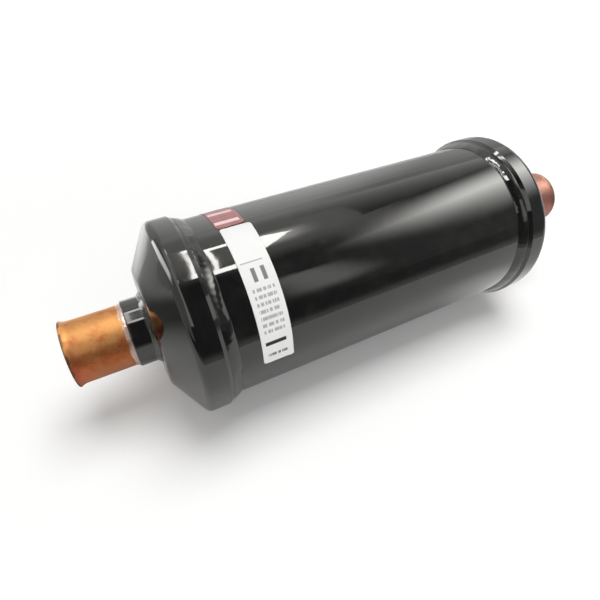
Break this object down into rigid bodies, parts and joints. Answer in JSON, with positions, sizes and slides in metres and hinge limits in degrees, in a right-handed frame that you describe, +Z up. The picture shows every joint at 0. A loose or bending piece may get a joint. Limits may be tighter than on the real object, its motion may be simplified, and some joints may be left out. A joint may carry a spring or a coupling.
{
  "type": "filter drier",
  "caption": "Black steel hermetic filter drier: a round shell with flanged conical end covers, a copper solder stub at each end and a wrap-round label.",
  "frame": {"origin": "on the resting surface, below the middle of the drier lying on its side", "axes": "+X along the flow from inlet to outlet, +Z up, -Y the side that the label faces"},
  "size_m": [0.2508, 0.082, 0.0821],
  "materials": {
    "black_paint": "high gloss",
    "copper": "bare drawn copper, slightly tarnished",
    "braze_alloy": "brazed fillet",
    "white_foil": "gloss",
    "red_foil": "gloss",
    "desiccant": "rough",
    "felt": "felt",
    "polyester_pad": "fibre mat",
    "bare_steel": "bare"
  },
  "bodies": {
    "root": {"shell": "black_paint", "inlet_end_cover": "black_paint", "outlet_end_cover": "black_paint", "inlet_seam_weld": "black_paint", "outlet_seam_weld": "black_paint", "inlet_neck": "black_paint", "outlet_neck": "black_paint", "inlet_neck_weld": "black_paint", "outlet_neck_weld": "black_paint", "inlet_copper_stub": "copper", "outlet_copper_stub": "copper", "inlet_braze_ring": "braze_alloy", "outlet_braze_ring": "braze_alloy", "rating_label": "white_foil", "header_label": "red_foil", "desiccant_core": "desiccant", "core_gasket": "felt", "filter_pad": "polyester_pad", "perforated_plate": "bare_steel", "support_ring": "bare_steel", "spring_plate": "bare_steel", "core_spring": "bare_steel"}
  },
  "joints": []
}
